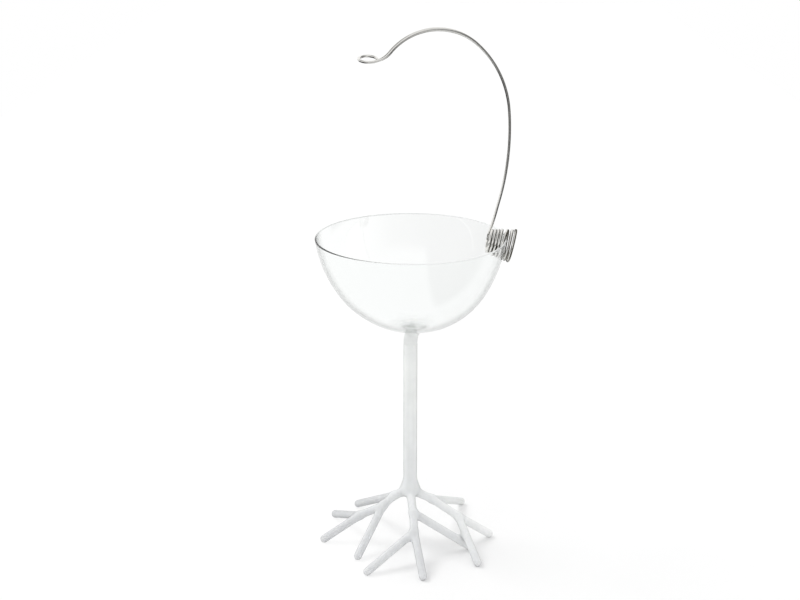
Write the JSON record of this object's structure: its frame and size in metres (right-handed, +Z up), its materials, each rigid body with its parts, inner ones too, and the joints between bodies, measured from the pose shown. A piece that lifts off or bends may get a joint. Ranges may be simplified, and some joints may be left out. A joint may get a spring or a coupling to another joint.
{
  "type": "footed glass coupe with clip-on garnish holder",
  "caption": "Clear glass coupe on a frosted stem with a claw-like branching foot, and a bent steel wire garnish holder whose conical coil clips on the rim.",
  "frame": {"origin": "on the bowl's axis, on the table that the toes stand on", "axes": "+Z up along the stem; +X towards the side of the rim that the wire clips on; -Y towards the viewer"},
  "size_m": [0.1012, 0.097, 0.2698],
  "materials": {
    "clear_glass": "clear and fire polished",
    "frosted_glass": "etched to a soft white frost",
    "steel_wire": "polished stainless steel wire"
  },
  "bodies": {
    "glass": {"bowl": "clear_glass", "clear_neck": "clear_glass", "stem": "frosted_glass", "foot_hub": "frosted_glass", "left_leg": "frosted_glass", "left_rear_toe": "frosted_glass", "left_side_toe": "frosted_glass", "left_front_toe": "frosted_glass", "front_leg": "frosted_glass", "front_left_toe": "frosted_glass", "front_right_toe": "frosted_glass", "right_leg": "frosted_glass", "right_rear_toe": "frosted_glass", "right_front_toe": "frosted_glass"},
    "holder": {"rim_clip_coil": "steel_wire", "holder_arm": "steel_wire", "garnish_loop": "steel_wire"}
  },
  "joints": [
    {"name": "holder_lift", "type": "slide", "parent": "glass", "child": "holder", "axis": [0.1935, 0, 0.9811], "range_m": [0, 0.03]}
  ]
}
